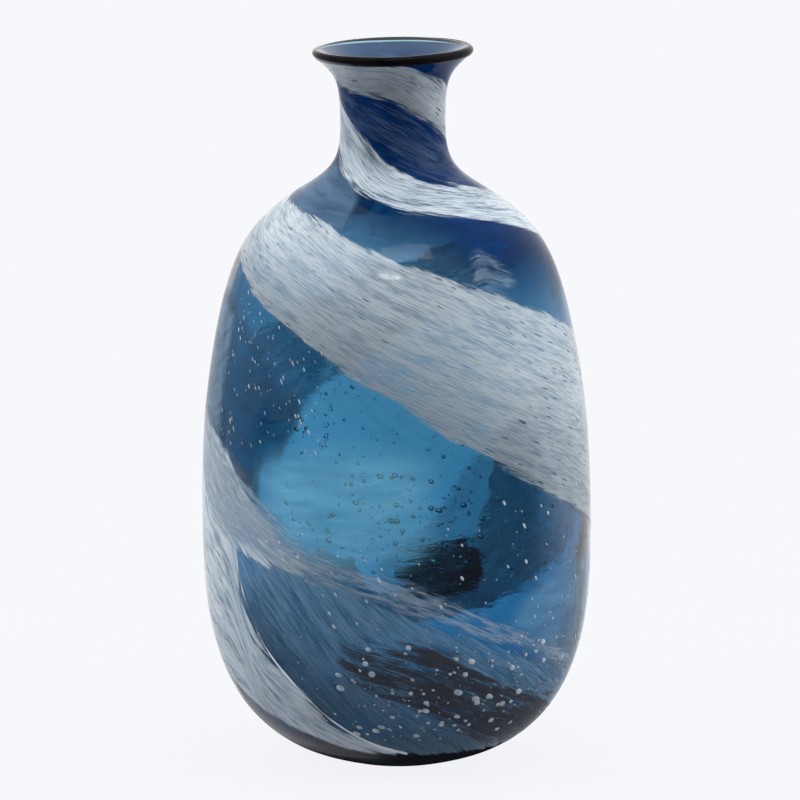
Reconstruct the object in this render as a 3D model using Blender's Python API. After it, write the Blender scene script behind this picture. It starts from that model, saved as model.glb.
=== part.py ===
"""Hand-blown glass vase: thick blue bubble, frit swirls laid on it, thin casing gather, lip bead and foot.

Every layer is turned round +Z from one outline. The foot's centre is the origin, lengths at the top
are in millimetres, and -Y is the front. Angles run from the front towards +X, in degrees.
"""

import math

import bmesh
import bpy
import numpy as np

MM = 0.001

# Outer surface, (radius, height), from the edge of the ground foot up to the lip.
OUTLINE = (
    (27.0, 0.0), (46.5, 6.5), (70.5, 26.0), (84.5, 57.0), (89.0, 104.0), (87.5, 158.0), (80.0, 207.0),
    (67.5, 241.0), (44.5, 262.5), (27.5, 276.5), (24.0, 300.0), (27.5, 317.5), (35.2, 325.4),
)

# Wall thickness by height: heavy at the heel, thin on the shoulder, heavy again where the neck is drawn in.
WALL = (
    (0.0, 10.0), (26.0, 9.5), (57.0, 8.5), (104.0, 7.0), (158.0, 5.8), (207.0, 5.2), (241.0, 5.4),
    (262.0, 6.6), (280.0, 8.6), (300.0, 8.8), (316.0, 6.0), (325.4, 4.2),
)

CASING = 1.2  # thickness of the outer gather
FRIT_SPACE = 1.4  # space between the outer gather and the bubble, where the frit lies
FRIT = 0.4  # thickness of a frit layer
BASE_HEIGHT = 9.0  # top of the foot gather
FLOOR_HEIGHT = 15.0  # inside floor of the bubble
BEAD_RADIUS = 1.9  # half the thickness of the bead on the lip
GAP = 0.3  # clearance between pieces that touch

LEAN = 0.0095  # sideways drift of the axis for each unit of height, about the widest ring
WIDEST_HEIGHT = 110.0
LIP_TILT = 0.0215  # rise of the lip for each unit towards +X
TILT_START = 290.0  # the tilt grows in from this height up to the lip

SEGMENTS = 40
FINE_TURN = math.radians(10.0)  # how far the outline may turn from ring to ring on the casing
COARSE_TURN = math.radians(14.0)
RING_STEP = 45.0  # how far apart two rings may be on a straight stretch
STRIP_STEP = 10.0  # most angle between two columns of a swirl
STRIP_CLIMB = 16.0  # most rise of an edge between two columns
STRIP_ROWS = 7

# Course of each frit layer: (angle, top height, bottom height).
LONG_SWIRL = (
    (-110, 325.0, 321.5), (-70, 323.3, 310.0), (0, 321.0, 305.5), (60, 314.5, 291.0), (120, 303.0, 274.0),
    (190, 284.0, 254.0), (270, 262.0, 238.0), (315, 258.0, 214.0), (360, 243.0, 178.5), (405, 224.5, 137.5),
    (450, 203.0, 105.0), (485, 172.0, 70.0), (500, 146.0, 56.0), (508, 120.0, 50.0), (519, 61.0, 45.0),
    (548, 56.0, 33.0), (557, 76.0, 29.0), (585, 78.0, 19.0), (615, 50.0, 13.5), (650, 22.0, 10.5),
)
SHORT_SWIRL = (
    (-205, 325.0, 321.5), (-142, 320.0, 306.0), (-90, 306.5, 278.5), (-45, 291.5, 271.5), (0, 278.5, 261.5),
    (45, 270.5, 254.5), (90, 265.0, 241.5), (138, 248.0, 214.0), (180, 222.0, 178.0), (226, 194.0, 133.0),
    (250, 177.0, 95.0), (272, 141.0, 60.0), (290, 110.0, 38.0), (308, 87.5, 26.0), (314, 66.0, 23.0),
    (324, 49.0, 19.0), (338, 28.0, 13.5), (360, 14.5, 11.0),
)
WISP = (
    (256, 179.0, 174.5), (272, 167.5, 146.5), (290, 159.0, 115.5), (310, 142.0, 109.5), (330, 116.0, 106.0),
    (355, 100.0, 90.0), (372, 90.0, 78.0), (392, 76.0, 64.0), (421, 58.0, 48.0), (445, 47.0, 41.0),
)
CHARCOAL_PATCH = (
    (-19, 67.5, 62.0), (-14, 71.5, 50.0), (0, 73.5, 37.0), (24, 62.0, 22.0), (40, 51.0, 15.0),
    (59, 39.0, 11.5), (80, 30.0, 10.5), (100, 24.0, 10.5), (118, 17.0, 12.0),
)
NAVY_SMEAR = ((159, 80.0, 74.0), (164, 92.0, 64.0), (172, 92.0, 60.5), (182, 85.0, 61.0), (189, 79.0, 72.0))

# Colour, roughness and metallic value of each glass.
COLOURS = {
    "blue_glass": ((0.03, 0.16, 0.36), 0.05, 0.0),
    "casing_glass": ((0.25, 0.45, 0.62), 0.03, 0.0),
    "white_frit": ((0.62, 0.70, 0.76), 0.35, 0.0),
    "charcoal_frit": ((0.02, 0.02, 0.03), 0.35, 0.0),
    "navy_frit": ((0.004, 0.02, 0.08), 0.3, 0.0),
    "lip_glass": ((0.02, 0.02, 0.03), 0.05, 0.0),
    "foot_glass": ((0.01, 0.02, 0.05), 0.06, 0.0),
}


def clear_scene():
    """Removes every object that the scene starts with."""
    for obj in list(bpy.data.objects):
        bpy.data.objects.remove(obj, do_unlink=True)


def glass(name):
    """The material of one kind of glass, made once."""
    found = bpy.data.materials.get(name)
    if found:
        return found
    colour, roughness, metallic = COLOURS[name]
    material = bpy.data.materials.new(name)
    material.use_nodes = True
    shader = material.node_tree.nodes["Principled BSDF"]
    shader.inputs["Base Color"].default_value = (*colour, 1.0)
    shader.inputs["Roughness"].default_value = roughness
    shader.inputs["Metallic"].default_value = metallic
    return material


def natural_spline(points, count):
    """count points along the natural cubic spline through the given points, by chord length."""
    points = np.array(points)
    chord = np.concatenate([[0.0], np.cumsum(np.linalg.norm(np.diff(points, axis=0), axis=1))])
    step = np.diff(chord)
    last = len(points) - 1
    system = np.eye(last + 1)
    right = np.zeros_like(points)
    for i in range(1, last):
        system[i, i - 1 : i + 2] = step[i - 1], 2 * (step[i - 1] + step[i]), step[i]
        right[i] = 6 * ((points[i + 1] - points[i]) / step[i] - (points[i] - points[i - 1]) / step[i - 1])
    bend = np.linalg.solve(system, right)
    along = np.linspace(0.0, chord[-1], count)
    k = np.clip(np.searchsorted(chord, along, side="right") - 1, 0, last - 1)
    after, before, length = (chord[k + 1] - along)[:, None], (along - chord[k])[:, None], step[k][:, None]
    cubic = (bend[k] * after**3 + bend[k + 1] * before**3) / (6 * length)
    start = (points[k] / length - bend[k] * length / 6) * after
    return cubic + start + (points[k + 1] / length - bend[k + 1] * length / 6) * before


def monotone(stations, column):
    """A smooth function of angle through one column of the stations, which never overshoots them."""
    x = np.array([station[0] for station in stations], float)
    y = np.array([station[column] for station in stations], float)
    slope = np.diff(y) / np.diff(x)
    tangent = np.concatenate([slope[:1], slope[:-1], slope[-1:]])[: len(x)]
    same = slope[:-1] * slope[1:] > 0
    tangent[1:-1] = np.where(same, 2 * slope[:-1] * slope[1:] / np.where(same, slope[:-1] + slope[1:], 1), 0)
    tangent[-1] = slope[-1]

    def value(at):
        k = int(np.clip(np.searchsorted(x, at, side="right") - 1, 0, len(x) - 2))
        h = x[k + 1] - x[k]
        t = (at - x[k]) / h
        rise = (2 * t**3 - 3 * t**2 + 1) * y[k] + (3 * t**2 - 2 * t**3) * y[k + 1]
        return rise + h * ((t**3 - 2 * t**2 + t) * tangent[k] + (t**3 - t**2) * tangent[k + 1])

    return value


SURFACE = natural_spline(OUTLINE, 800)
TANGENT = np.gradient(SURFACE, axis=0)
TANGENT /= np.linalg.norm(TANGENT, axis=1)[:, None]
OUTWARD = np.stack([TANGENT[:, 1], -TANGENT[:, 0]], axis=1)
LENGTH = np.concatenate([[0.0], np.cumsum(np.linalg.norm(np.diff(SURFACE, axis=0), axis=1))])


def layer(depth):
    """The outline moved into the glass by a depth, one number or one for each point."""
    return SURFACE - OUTWARD * np.reshape(depth, (-1, 1))


def wall_depth():
    """The wall's full thickness at each point of the outline."""
    heights, thickness = zip(*WALL)
    return np.interp(SURFACE[:, 1], heights, thickness)


def from_height(curve, height):
    """The part of a rising curve above a height, starting exactly on it."""
    above = curve[curve[:, 1] > height]
    start = (np.interp(height, curve[:, 1], curve[:, 0]), height)
    return np.vstack([start, above])


def thinned(curve, turn):
    """The fewest points that follow a curve with no turn or stretch larger than asked."""
    steps = np.diff(curve, axis=0)
    heading = np.unwrap(np.arctan2(steps[:, 1], steps[:, 0]))
    cost = np.linalg.norm(steps, axis=1) / RING_STEP
    cost[1:] += np.abs(np.diff(heading)) / turn
    total = np.concatenate([[0.0], np.cumsum(cost)])
    wanted = np.linspace(0.0, total[-1], math.ceil(total[-1]) + 1)
    return np.stack([np.interp(wanted, total, curve[:, i]) for i in (0, 1)], axis=1)


def by_hand(point):
    """A point of the true turned shape, moved by the lean and the tilted lip of the blown one."""
    x, y, z = point
    rise = min(max((z - TILT_START) / (OUTLINE[-1][1] - TILT_START), 0.0), 1.0)
    return (x + LEAN * (WIDEST_HEIGHT - z), y, z + LIP_TILT * x * rise * rise)


def finish(name, mesh_data, material):
    """Turns bmesh data into a named, smooth-shaded object, scaled to metres."""
    for vert in mesh_data.verts:
        vert.co = [value * MM for value in by_hand(vert.co)]
    mesh = bpy.data.meshes.new(name)
    mesh_data.to_mesh(mesh)
    mesh_data.free()
    mesh.shade_smooth()
    mesh.set_sharp_from_angle(angle=math.radians(40))
    mesh.materials.append(glass(material))
    obj = bpy.data.objects.new(name, mesh)
    bpy.context.scene.collection.objects.link(obj)
    return obj


def turned(name, section, material):
    """A solid of revolution from a closed section of (radius, height) points."""
    work = bmesh.new()
    verts = [work.verts.new((radius, 0.0, height)) for radius, height in section]
    edges = [work.edges.new((verts[i - 1], verts[i])) for i in range(len(verts))]
    bmesh.ops.spin(
        work, geom=verts + edges, cent=(0, 0, 0), axis=(0, 0, 1), angle=2 * math.pi, steps=SEGMENTS,
        use_merge=True,
    )
    bmesh.ops.remove_doubles(work, verts=work.verts, dist=0.001)
    loose = [edge for edge in work.edges if not edge.link_faces]
    bmesh.ops.delete(work, geom=loose, context="EDGES")
    bmesh.ops.dissolve_degenerate(work, edges=work.edges, dist=0.001)
    bmesh.ops.recalc_face_normals(work, faces=work.faces)
    return finish(name, work, material)


def make_foot():
    """The heavy foot gather: a dish with a ground flat under it, cut off level at the top."""
    top = BASE_HEIGHT - GAP / 2
    heel = SURFACE[SURFACE[:, 1] < top]
    edge = (np.interp(top, SURFACE[:, 1], SURFACE[:, 0]), top)
    rim = thinned(np.vstack([heel, edge]), COARSE_TURN)
    return turned("foot_gather", [(0.0, 0.0), *rim, (0.0, top)], "foot_glass")


def make_bubble():
    """The thick blue bubble: a cup that the neck closes in, open at the mouth."""
    bottom = BASE_HEIGHT + GAP / 2
    outside = thinned(from_height(layer(CASING + FRIT_SPACE), bottom), FINE_TURN)
    inside = thinned(from_height(layer(wall_depth()), FLOOR_HEIGHT), COARSE_TURN)
    section = [(0.0, bottom), *outside, *inside[::-1], (0.0, FLOOR_HEIGHT)]
    return turned("inner_bubble", section, "blue_glass")


def make_casing():
    """The thin outer gather: a sleeve from the foot gather up to the lip."""
    bottom = BASE_HEIGHT + GAP / 2
    outside = thinned(from_height(layer(0.0), bottom), FINE_TURN)
    inside = thinned(from_height(layer(CASING), bottom), FINE_TURN)
    return turned("outer_casing", [*outside, *inside[::-1]], "casing_glass")


def make_lip_bead():
    """The fire-polished bead that closes the two layers at the mouth."""
    wall_middle = SURFACE[-1] - OUTWARD[-1] * WALL[-1][1] / 2
    centre = wall_middle + TANGENT[-1] * (GAP + BEAD_RADIUS)
    angles = np.radians(np.arange(0, 360, 36))
    section = [(centre[0] + BEAD_RADIUS * math.cos(a), centre[1] + BEAD_RADIUS * math.sin(a)) for a in angles]
    return turned("lip_bead", section, "lip_glass")


def column_angles(stations, top, bottom):
    """Where a frit layer's columns stand: closer together where an edge climbs fast."""
    fine = np.arange(stations[0][0], stations[-1][0] + 0.5)
    climb = [np.abs(np.diff([edge(angle) for angle in fine])) for edge in (top, bottom)]
    cost = 1.0 / STRIP_STEP + np.maximum(*climb) / STRIP_CLIMB
    total = np.concatenate([[0.0], np.cumsum(cost)])
    return np.interp(np.linspace(0.0, total[-1], math.ceil(total[-1]) + 1), total, fine)


def make_frit(name, stations, material):
    """A frit layer: a thin sheet between the casing and the bubble, thickened both ways."""
    top, bottom = monotone(stations, 1), monotone(stations, 2)
    middle = layer(CASING + FRIT_SPACE / 2)
    work = bmesh.new()
    columns = []
    for angle in column_angles(stations, top, bottom):
        ends = np.interp([bottom(angle), top(angle)], SURFACE[:, 1], LENGTH)
        turn = math.radians(angle)
        column = []
        for along in np.linspace(*ends, STRIP_ROWS + 1):
            radius, height = (np.interp(along, LENGTH, middle[:, i]) for i in (0, 1))
            column.append(work.verts.new((radius * math.sin(turn), -radius * math.cos(turn), height)))
        columns.append(column)
    for left, right in zip(columns, columns[1:]):
        for i in range(STRIP_ROWS):
            work.faces.new((left[i], right[i], right[i + 1], left[i + 1]))
    obj = finish(name, work, material)
    solidify = obj.modifiers.new("frit thickness", "SOLIDIFY")
    solidify.thickness = FRIT * MM
    solidify.offset = 0.0
    return obj


clear_scene()
make_foot()
make_bubble()
make_casing()
make_lip_bead()
make_frit("long_white_swirl", LONG_SWIRL, "white_frit")
make_frit("short_white_swirl", SHORT_SWIRL, "white_frit")
make_frit("white_wisp", WISP, "white_frit")
make_frit("charcoal_patch", CHARCOAL_PATCH, "charcoal_frit")
make_frit("navy_smear", NAVY_SMEAR, "navy_frit")
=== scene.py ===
"""A hand blown vase: thick blue glass with white bands twisting round it, a dark heel and a dark lip.

The shape tables hold millimetres, and everything made from them is in metres. Angles run in degrees
from the front, -Y, towards +X, and go on past 360 where a band winds round more than once.
"""

import logging
import math
from dataclasses import dataclass, field
from enum import Enum, Flag, auto
from typing import Callable, Sequence

import bpy
import numpy as np
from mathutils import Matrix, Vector


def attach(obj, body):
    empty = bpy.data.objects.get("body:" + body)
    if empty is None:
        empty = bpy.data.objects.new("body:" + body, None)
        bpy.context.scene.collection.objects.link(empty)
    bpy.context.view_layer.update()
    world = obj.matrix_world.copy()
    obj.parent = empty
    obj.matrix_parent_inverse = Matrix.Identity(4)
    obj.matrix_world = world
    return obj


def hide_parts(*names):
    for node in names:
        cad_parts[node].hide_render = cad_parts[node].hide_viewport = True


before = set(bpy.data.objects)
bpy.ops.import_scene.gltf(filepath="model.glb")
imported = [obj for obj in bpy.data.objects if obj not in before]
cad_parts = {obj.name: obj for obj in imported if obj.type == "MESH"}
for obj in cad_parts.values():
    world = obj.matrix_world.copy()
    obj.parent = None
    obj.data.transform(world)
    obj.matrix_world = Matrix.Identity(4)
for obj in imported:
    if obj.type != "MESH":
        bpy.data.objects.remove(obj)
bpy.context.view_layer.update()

LOG = logging.getLogger("vase")
BODY = "root"
MM = 0.001

Piece = bpy.types.Object
Node = bpy.types.Node
Tree = bpy.types.NodeTree
Point = tuple[float, float]
Station = tuple[float, float, float]
Course = tuple[Station, ...]
Colour = tuple[float, float, float]
Value = object  # a node's output, or the plain number, vector or word that goes on an input
Inputs = dict[object, Value]


class Slot(Enum):
    """The record's name for each kind of glass."""

    CLEAR = "blue_glass"
    FOOT = "foot_glass"
    LIP = "lip_glass"
    WHITE = "white_frit"
    CHARCOAL = "charcoal_frit"
    NAVY = "navy_frit"


class Layer(Enum):
    """How far each coat of frit stands off the outer surface of the glass, in millimetres."""

    FILM = 0.04
    GLOW = 0.06
    HAZE = 0.085
    BAND = 0.13
    FOLD = 0.16
    WISP = 0.19
    PATCH = 0.23
    THREAD = 0.28


class Edge(Flag):
    """The edges where a coat fades out; at any other it runs on under its neighbour."""

    TOP = auto()
    BOTTOM = auto()
    ENDS = auto()


# ---------------------------------------------------------------------------------------- shape


@dataclass
class VaseShape:
    """The blown form: one outline turned round the axis, then moved by the blower's hand.

    Attributes:
        outline: Outer surface as (radius, height), from the foot to the lip.
        wall: Thickness of the glass as (height, thickness).
        lean: Sideways drift of the axis for each unit of height.
        upright_at: Height where the drift is nothing.
        lip_tilt: Rise of the lip for each unit towards +X.
        tilt_from: Height from which the tilt grows in.
    """

    outline: Sequence[Point] = (
        (27.0, 0.0), (46.5, 6.5), (70.5, 26.0), (84.5, 57.0), (89.0, 104.0), (87.5, 158.0), (80.0, 207.0),
        (67.5, 241.0), (44.5, 262.5), (27.5, 276.5), (24.0, 300.0), (27.5, 317.5), (35.2, 325.4),
    )
    wall: Sequence[Point] = (
        (0.0, 10.0), (26.0, 9.5), (57.0, 8.5), (104.0, 7.0), (158.0, 5.8), (207.0, 5.2), (241.0, 5.4),
        (262.0, 6.6), (280.0, 8.6), (300.0, 8.8), (316.0, 6.0), (325.4, 4.2),
    )
    lean: float = 0.0095
    upright_at: float = 110.0
    lip_tilt: float = 0.0215
    tilt_from: float = 290.0
    surface: np.ndarray = field(init=False, repr=False)
    tangent: np.ndarray = field(init=False, repr=False)
    outward: np.ndarray = field(init=False, repr=False)
    length: np.ndarray = field(init=False, repr=False)

    def __post_init__(self) -> None:
        """Works out the smooth outline and its directions."""
        self.surface = self._spline(np.array(self.outline), 1600)
        self.tangent = np.gradient(self.surface, axis=0)
        self.tangent /= np.linalg.norm(self.tangent, axis=1)[:, None]
        self.outward = np.stack([self.tangent[:, 1], -self.tangent[:, 0]], axis=1)
        steps = np.linalg.norm(np.diff(self.surface, axis=0), axis=1)
        self.length = np.concatenate([[0.0], np.cumsum(steps)])

    @staticmethod
    def _spline(points: np.ndarray, count: int) -> np.ndarray:
        """Evenly spaced points on the natural cubic spline through the given points."""
        chord = np.concatenate([[0.0], np.cumsum(np.linalg.norm(np.diff(points, axis=0), axis=1))])
        step = np.diff(chord)
        last = len(points) - 1
        system = np.eye(last + 1)
        right = np.zeros_like(points)
        for i in range(1, last):
            system[i, i - 1 : i + 2] = step[i - 1], 2 * (step[i - 1] + step[i]), step[i]
            coming, going = (points[i] - points[i - 1]) / step[i - 1], (points[i + 1] - points[i]) / step[i]
            right[i] = 6 * (going - coming)
        bend = np.linalg.solve(system, right)
        along = np.linspace(0.0, chord[-1], count)
        k = np.clip(np.searchsorted(chord, along, side="right") - 1, 0, last - 1)
        after, before, size = (chord[k + 1] - along)[:, None], (along - chord[k])[:, None], step[k][:, None]
        cubic = (bend[k] * after**3 + bend[k + 1] * before**3) / (6 * size)
        start = (points[k] / size - bend[k] * size / 6) * after
        return cubic + start + (points[k + 1] / size - bend[k + 1] * size / 6) * before

    def section(self, lengths: np.ndarray, depth: np.ndarray | float) -> np.ndarray:
        """Points of the outline at some lengths along it, moved into the glass by a depth."""
        moved = self.surface - self.outward * np.reshape(depth, (-1, 1))
        return np.stack([np.interp(lengths, self.length, moved[:, i]) for i in (0, 1)], axis=1)

    def wall_depth(self) -> np.ndarray:
        """The glass's thickness at each point of the outline."""
        heights, thickness = zip(*self.wall)
        return np.interp(self.surface[:, 1], heights, thickness)

    def length_at(self, height: Value) -> Value:
        """Length along the outline, from the foot up to a height, and straight on above the lip."""
        beyond = np.clip(np.asarray(height) - self.outline[-1][1], 0.0, None)
        return np.interp(height, self.surface[:, 1], self.length) + beyond

    def laid(self, lengths: np.ndarray, depth: float, angles: np.ndarray) -> np.ndarray:
        """Positions in metres at lengths up the outline and angles round it, a depth into the glass."""
        section = self.section(lengths.ravel(), depth).reshape(*lengths.shape, 2)
        return self.placed(section[..., 0], section[..., 1], np.broadcast_to(angles, lengths.shape))

    def placed(self, radius: np.ndarray, height: np.ndarray, angle: np.ndarray) -> np.ndarray:
        """Positions in metres of points at a radius, height and angle, with the hand's lean and tilt."""
        turn = np.radians(angle)
        x, y = radius * np.sin(turn), -radius * np.cos(turn)
        rise = np.clip((height - self.tilt_from) / (self.outline[-1][1] - self.tilt_from), 0.0, 1.0)
        lifted = height + self.lip_tilt * x * rise * rise
        return np.stack([x + self.lean * (self.upright_at - height), y, lifted], axis=-1) * MM


def new_object(name: str, data: bpy.types.ID) -> Piece:
    """An object in the scene, made from its data."""
    obj = bpy.data.objects.new(name, data)
    bpy.context.scene.collection.objects.link(obj)
    return obj


class MeshMaker:
    """Turns arrays of points into named objects that ride on the vase."""

    @staticmethod
    def _object(name: str, points: np.ndarray, faces: list[tuple[int, ...]]) -> Piece:
        """A smooth-shaded object from points and faces, with its normals outwards."""
        mesh = bpy.data.meshes.new(name)
        mesh.from_pydata(points.tolist(), [], faces)
        mesh.validate()
        mesh.shade_smooth()
        mesh.set_sharp_from_angle(angle=math.radians(50))
        return new_object(name, mesh)

    @classmethod
    def turned(cls, name: str, section: np.ndarray, shape: VaseShape, segments: int) -> Piece:
        """A closed solid of revolution.

        Args:
            name: Name of the object.
            section: (radius, height) points that go up the outside and end on the axis again.
            shape: The vase, which adds its lean and tilt.
            segments: Number of columns round the axis.

        Returns:
            The new object.
        """
        points: list[np.ndarray] = []
        rings: list[list[int]] = []
        angles = np.arange(segments) * 360.0 / segments
        for radius, height in section:
            count = 1 if radius < 1e-6 else segments
            start = sum(len(part) for part in points)
            points.append(shape.placed(np.full(count, radius), np.full(count, height), angles[:count]))
            rings.append([start] if count == 1 else list(range(start, start + segments)))
        faces: list[tuple[int, ...]] = []
        for low, high in zip(rings, rings[1:]):
            for i in range(segments):
                j = (i + 1) % segments
                corners = (low[i % len(low)], low[j % len(low)], high[j % len(high)], high[i % len(high)])
                faces.append(tuple(dict.fromkeys(corners)))
        return cls._object(name, np.concatenate(points), faces)

    @classmethod
    def ring(cls, name: str, points: np.ndarray) -> Piece:
        """A closed ring from points in rows round its section and columns round the vase."""
        rows, columns = points.shape[:2]
        faces = [
            (i * columns + j, i * columns + (j + 1) % columns,
             (i + 1) % rows * columns + (j + 1) % columns, (i + 1) % rows * columns + j)
            for i in range(rows) for j in range(columns)
        ]
        return cls._object(name, points.reshape(-1, 3), faces)

    @classmethod
    def sheet(cls, name: str, points: np.ndarray, strands: np.ndarray, inside: np.ndarray,
              rise: np.ndarray) -> Piece:
        """An open sheet with the coordinates that its frit is drawn out along.

        Args:
            name: Name of the object.
            points: Positions in rows up the sheet and columns along it.
            strands: For each point, metres along the strands and metres across them.
            inside: For each point, how far it is inside the frit's edge, in millimetres.
            rise: For each point, its place from the lower edge, 0, to the upper one, 1.

        Returns:
            The new object.
        """
        rows, columns = points.shape[:2]
        faces = [
            (i * columns + j, i * columns + j + 1, (i + 1) * columns + j + 1, (i + 1) * columns + j)
            for i in range(rows - 1) for j in range(columns - 1)
        ]
        obj = cls._object(name, points.reshape(-1, 3), faces)
        mesh = obj.data
        corner = np.empty(len(mesh.loops), dtype=np.int64)
        mesh.loops.foreach_get("vertex_index", corner)
        uv = mesh.uv_layers.new(name="strands")
        uv.data.foreach_set("uv", strands.reshape(-1, 2)[corner].astype(np.float32).ravel())
        cls.mark(mesh, "inside", inside)
        cls.mark(mesh, "rise", rise)
        return obj

    @staticmethod
    def mark(mesh: bpy.types.Mesh, name: str, values: np.ndarray, kind: str = "FLOAT") -> None:
        """Gives each point of a mesh its own value, or its own direction."""
        data = mesh.attributes.new(name, kind, "POINT").data
        data.foreach_set("value" if kind == "FLOAT" else "vector", values.ravel().astype(np.float32))

    @staticmethod
    def fit(obj: Piece, material: bpy.types.Material, slot: Slot, *nodes: str) -> Piece:
        """Gives a piece its material, its body and the CAD nodes that it stands for."""
        if not obj.data.materials:
            obj.data.materials.append(material)
        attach(obj, BODY)
        if nodes:
            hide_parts(*nodes)
        LOG.info("%s: %d faces", obj.name, len(obj.data.polygons))
        return obj


# ------------------------------------------------------------------------------------- finishes


class Term:
    """A node's output, which takes part in sums as a number does."""

    def __init__(self, graph: "Graph", socket: bpy.types.NodeSocket) -> None:
        """Takes the output, and the graph that its sums are added to."""
        self.graph, self.socket = graph, socket

    def __add__(self, other: Value) -> "Term":
        """The two together."""
        return self.graph.math("ADD", self, other)

    def __sub__(self, other: Value) -> "Term":
        """This with the other taken off."""
        return self.graph.math("SUBTRACT", self, other)

    def __rsub__(self, other: Value) -> "Term":
        """The other with this taken off."""
        return self.graph.math("SUBTRACT", other, self)

    def __mul__(self, other: Value) -> "Term":
        """The two multiplied."""
        return self.graph.math("MULTIPLY", self, other)

    def __pow__(self, power: Value) -> "Term":
        """This raised to a power."""
        return self.graph.math("POWER", self, power)


class Graph:
    """A node tree with short calls for the nodes used here."""

    def __init__(self, tree: Tree) -> None:
        """Takes the tree to add to."""
        self.tree = tree

    def put(self, node: Node, inputs: Inputs) -> Node:
        """Links or sets some of a node's inputs."""
        for key, value in inputs.items():
            if isinstance(value, Term):
                self.tree.links.new(value.socket, node.inputs[key])
            else:
                node.inputs[key].default_value = value
        return node

    def add(self, kind: str, inputs: Inputs | None = None, **settings: Value) -> Node:
        """One node, with its settings and its inputs."""
        node = self.tree.nodes.new(kind)
        for name, value in settings.items():
            setattr(node, name, value)
        return self.put(node, inputs or {})

    def term(self, kind: str, output: object, inputs: Inputs | None = None, **settings: Value) -> Term:
        """One output of a new node."""
        return Term(self, self.add(kind, inputs, **settings).outputs[output])

    def terms(self, kind: str, inputs: Inputs | None = None, **settings: Value) -> dict[str, Term]:
        """Every output of a new node, by name."""
        return {socket.name: Term(self, socket) for socket in self.add(kind, inputs, **settings).outputs}

    def math(self, operation: str, *values: Value) -> Term:
        """The result of one sum."""
        return self.term("ShaderNodeMath", 0, dict(enumerate(values)), operation=operation)

    def ease(self, value: Value, low: Value, high: Value) -> Term:
        """A smooth step from 0 at low to 1 at high."""
        inputs = {"Value": value, "From Min": low, "From Max": high}
        return self.term("ShaderNodeMapRange", "Result", inputs, interpolation_type="SMOOTHSTEP")

    def scaled(self, vector: Value, scale: tuple[float, float, float], drift: float = 0.0) -> Term:
        """A vector scaled and then moved by the same drift in all three directions."""
        inputs = {"Vector": vector, "Scale": scale, "Location": (drift,) * 3}
        return self.term("ShaderNodeMapping", 0, inputs)

    def stretched(self, vector: Value, along: float, across: float, drift: float = 0.0) -> Term:
        """Strand coordinates scaled so that one noise cell is so many millimetres long and wide."""
        return self.scaled(vector, (1.0 / (along * MM), 1.0 / (across * MM), 1.0), drift)

    def noise(self, vector: Value, detail: float, warp: float, scale: float = 1.0) -> Term:
        """Smooth noise from 0 to 1."""
        return self.term("ShaderNodeTexNoise", 0, {
            "Vector": vector, "Scale": scale, "Detail": detail, "Roughness": 0.55, "Distortion": warp})

    def mixed(self, share: Value, low: Value, high: Value, blend: str = "MIX") -> Term:
        """A colour between two, by share."""
        inputs = {0: share, 6: low, 7: high}
        return self.term("ShaderNodeMix", 2, inputs, data_type="RGBA", blend_type=blend)


def new_group(name: str, kind: str, inputs: Sequence[tuple[str, str, Value]],
              outputs: Sequence[tuple[str, str]]) -> Tree:
    """A node group with its sockets.

    Args:
        name: Name of the group.
        kind: Type of its tree.
        inputs: Name, socket type and default of each input, where None leaves the default alone.
        outputs: Name and socket type of each output.

    Returns:
        The new group, with nothing in it.
    """
    tree = bpy.data.node_groups.new(name, kind)
    for label, socket, value in inputs:
        made = tree.interface.new_socket(label, in_out="INPUT", socket_type=socket)
        if value is not None:
            made.default_value = value
    for label, socket in outputs:
        tree.interface.new_socket(label, in_out="OUTPUT", socket_type=socket)
    return tree


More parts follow.
